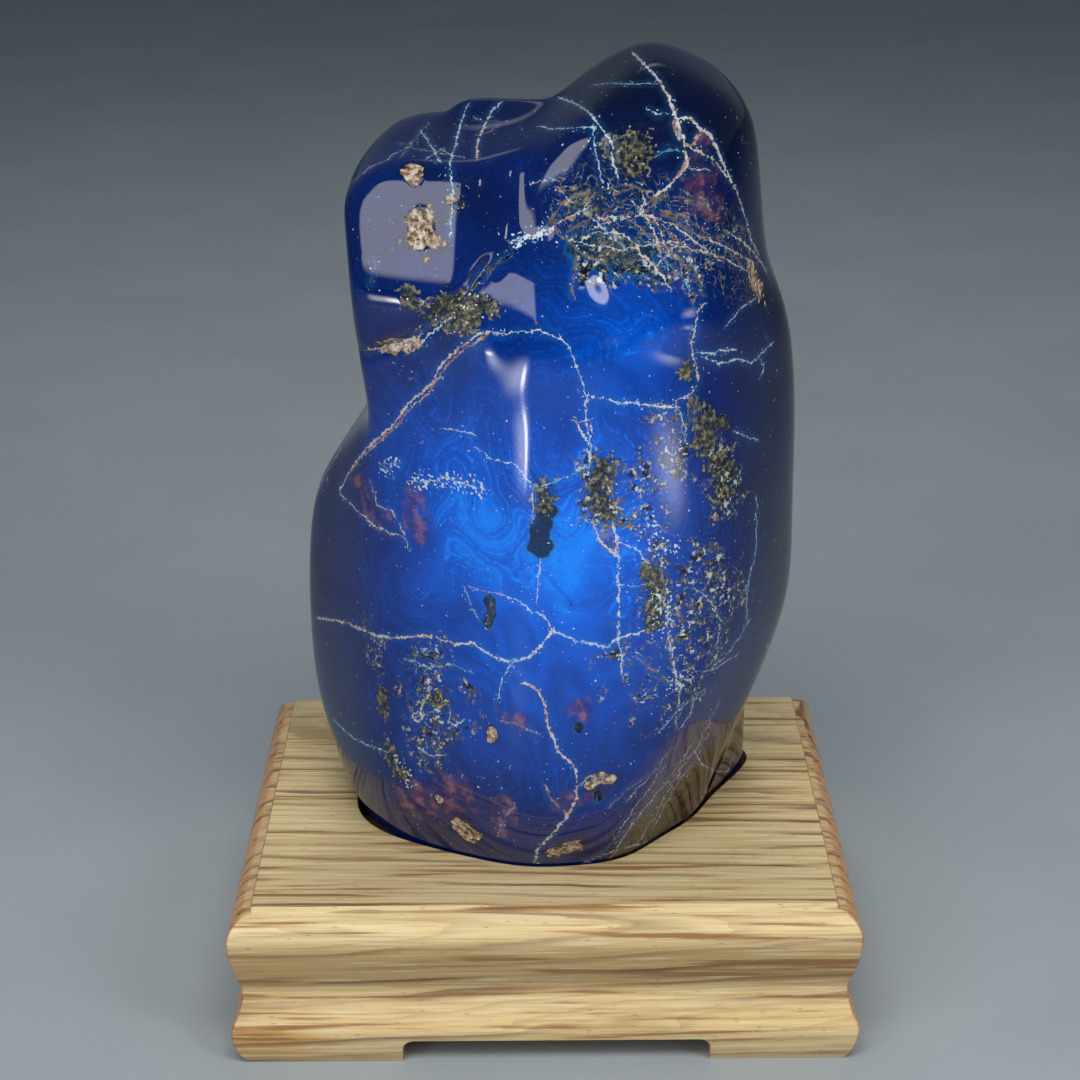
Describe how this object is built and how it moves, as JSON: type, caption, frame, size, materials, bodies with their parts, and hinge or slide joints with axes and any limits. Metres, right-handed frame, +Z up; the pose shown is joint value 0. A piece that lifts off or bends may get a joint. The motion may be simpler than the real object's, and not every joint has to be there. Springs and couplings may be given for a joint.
{
  "type": "amber freeform on a wooden stand",
  "caption": "Polished blue amber freeform with pale veins and mineral pits, standing upright in the recess of a moulded wooden stand on bracket feet",
  "frame": {"origin": "centre of the stand's footprint, on the surface it rests on", "axes": "+Z up, along the stone's length; the carved front of the stone faces -Y; +X to its right in the picture"},
  "size_m": [0.169, 0.1424, 0.2613],
  "materials": {
    "amber": "see-through blue resin with veins and pits, polished to a high gloss",
    "wood": "pale open-grained softwood under a satin lacquer"
  },
  "bodies": {
    "root": {"amber": "amber", "stand": "wood"}
  },
  "joints": []
}
